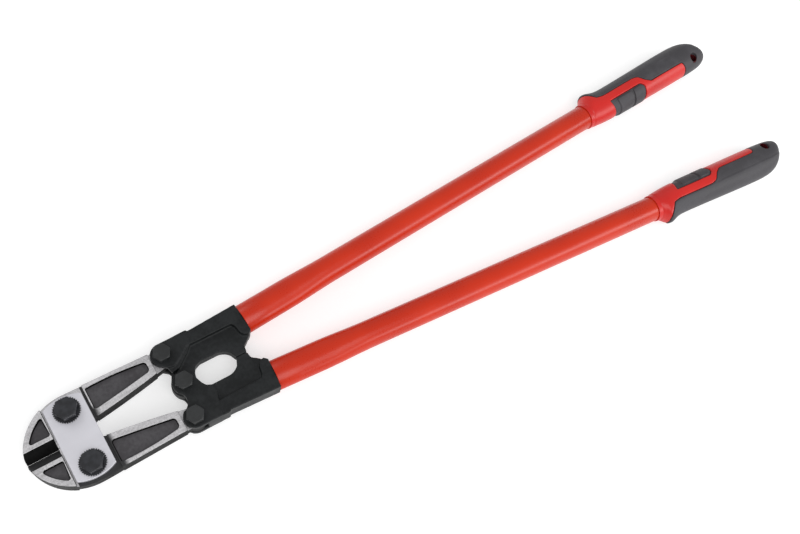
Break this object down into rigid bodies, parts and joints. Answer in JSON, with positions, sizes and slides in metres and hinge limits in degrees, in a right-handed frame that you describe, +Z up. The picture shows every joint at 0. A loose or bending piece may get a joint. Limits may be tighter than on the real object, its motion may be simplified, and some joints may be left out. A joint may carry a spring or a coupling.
{
  "type": "bolt cutters",
  "caption": "Long-handled bolt cutters with forged jaws between two plates, linked handle heads, tubular handles and moulded two-tone grips.",
  "frame": {"origin": "middle of the tool's box in plan, at the surface that it lies on", "axes": "+X along the tool from the jaws to the grips, +Y to the upper handle, +Z up out of the front face"},
  "size_m": [0.896, 0.1982, 0.0396],
  "materials": {
    "ground_steel": "forged tool steel, faces ground bright, recesses left black",
    "forged_black": "black oxide on forged steel, satin",
    "fastener_black": "black oxide, fine satin",
    "tube_paint": "orange-red powder coat, semi-gloss",
    "grip_red": "moulded red plastic, satin",
    "grip_rubber": "soft-touch dark grey rubber"
  },
  "bodies": {
    "jaw_plates": {"front_jaw_plate": "ground_steel", "back_jaw_plate": "ground_steel", "upper_jaw_front_washer": "fastener_black", "upper_jaw_back_washer": "fastener_black", "upper_jaw_bolt": "fastener_black", "upper_jaw_nut": "fastener_black", "lower_jaw_front_washer": "fastener_black", "lower_jaw_back_washer": "fastener_black", "lower_jaw_bolt": "fastener_black", "lower_jaw_nut": "fastener_black"},
    "upper_jaw": {"upper_jaw": "ground_steel"},
    "lower_jaw": {"lower_jaw": "ground_steel"},
    "upper_handle": {"upper_handle_head": "forged_black", "upper_tube": "tube_paint", "upper_rear_bolt": "fastener_black", "upper_rear_nut": "fastener_black", "upper_grip_core": "grip_red", "upper_grip_rubber": "grip_rubber", "upper_grip_palm_pad": "grip_rubber"},
    "lower_handle": {"lower_handle_head": "forged_black", "lower_tube": "tube_paint", "lower_rear_bolt": "fastener_black", "lower_rear_nut": "fastener_black", "lower_grip_core": "grip_red", "lower_grip_rubber": "grip_rubber", "lower_grip_palm_pad": "grip_rubber", "centre_bolt": "fastener_black", "centre_nut": "fastener_black"}
  },
  "joints": [
    {"name": "upper_jaw_pivot", "type": "hinge", "parent": "jaw_plates", "child": "upper_jaw", "pos_m": [-0.397, 0.0277, 0.0194], "axis": [0, 0, 1], "range_deg": [-6.88, 0]},
    {"name": "lower_jaw_pivot", "type": "hinge", "parent": "jaw_plates", "child": "lower_jaw", "pos_m": [-0.397, -0.0277, 0.0194], "axis": [0, 0, 1], "range_deg": [0, 6.88]},
    {"name": "upper_handle_pivot", "type": "hinge", "parent": "upper_jaw", "child": "upper_handle", "pos_m": [-0.2984, 0.0344, 0.0194], "axis": [0, 0, 1], "range_deg": [0, 50]},
    {"name": "lower_handle_pivot", "type": "hinge", "parent": "lower_jaw", "child": "lower_handle", "pos_m": [-0.2984, -0.0344, 0.0194], "axis": [0, 0, 1], "range_deg": [-50, 0]}
  ],
  "couplings": [
    {"joint": "upper_jaw_pivot", "follows": "upper_handle_pivot", "ratio": -0.1375},
    {"joint": "lower_jaw_pivot", "follows": "upper_handle_pivot", "ratio": 0.1375},
    {"joint": "lower_handle_pivot", "follows": "upper_handle_pivot", "ratio": -1}
  ]
}
